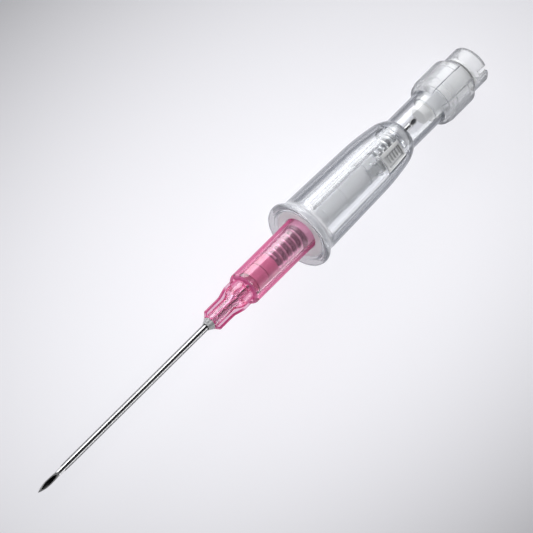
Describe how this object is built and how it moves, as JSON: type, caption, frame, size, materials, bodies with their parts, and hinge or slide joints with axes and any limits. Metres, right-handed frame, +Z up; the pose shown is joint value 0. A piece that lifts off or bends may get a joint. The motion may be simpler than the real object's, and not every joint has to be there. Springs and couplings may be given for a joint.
{
  "type": "iv cannula",
  "caption": "Peripheral iv cannula on its needle, with a finned coloured hub, a clear flanged grip, a sliding tip guard and a vented flash cap.",
  "frame": {"origin": "on the needle's axis where the soft tube leaves the hub's ferrule, which the length in the vein is counted from", "axes": "+X along the needle from its point towards the vented cap, +Z up, the push button at the top"},
  "size_m": [0.1061, 0.0112, 0.0112],
  "materials": {
    "clear_plastic": "clear glossy moulded plastic",
    "frosted_plastic": "milky frosted moulded plastic",
    "pink_plastic": "translucent pink moulded plastic",
    "steel": "drawn bright stainless steel",
    "spring_steel": "bright spring wire and strip",
    "soft_tube": "clear soft tube, glossy",
    "grey_plastic": "satin mid-grey plastic",
    "septum_rubber": "soft translucent silicone",
    "porous_plug": "porous white sintered plastic"
  },
  "bodies": {
    "grip": {"barrel": "clear_plastic", "front_bush": "frosted_plastic", "needle": "steel", "needle_bushing": "grey_plastic", "flash_chamber": "clear_plastic", "kick_spring": "spring_steel", "latch_leaf": "spring_steel"},
    "guard": {"guard_sleeve": "frosted_plastic", "guard_washer": "frosted_plastic", "tip_clip": "spring_steel"},
    "catheter": {"catheter_hub": "pink_plastic", "catheter_tube": "soft_tube", "tube_eyelet": "steel", "nose_ferrule": "grey_plastic", "septum": "septum_rubber", "valve_spring": "spring_steel"},
    "opener": {"valve_opener": "clear_plastic"},
    "button": {"release_button": "clear_plastic"},
    "cap": {"vent_cap": "clear_plastic", "vent_plug": "porous_plug", "vent_filter": "porous_plug"}
  },
  "joints": [
    {"name": "guard_slide", "type": "slide", "parent": "grip", "child": "guard", "axis": [-1, 0, 0], "range_m": [0, 0.0645], "deforming": ["kick_spring"]},
    {"name": "catheter_slide", "type": "slide", "parent": "guard", "child": "catheter", "axis": [-1, 0, 0], "range_m": [0, 0.067]},
    {"name": "valve_press", "type": "slide", "parent": "catheter", "child": "opener", "axis": [-1, 0, 0], "range_m": [0, 0.0032], "stiffness_N_per_m": 300, "deforming": ["septum", "valve_spring"]},
    {"name": "button_press", "type": "slide", "parent": "grip", "child": "button", "axis": [0, 0.2924, -0.9563], "range_m": [0, 0.0007], "stiffness_N_per_m": 1500, "deforming": ["latch_leaf"]},
    {"name": "cap_pull", "type": "slide", "parent": "grip", "child": "cap", "axis": [1, 0, 0], "range_m": [0, 0.009]}
  ]
}
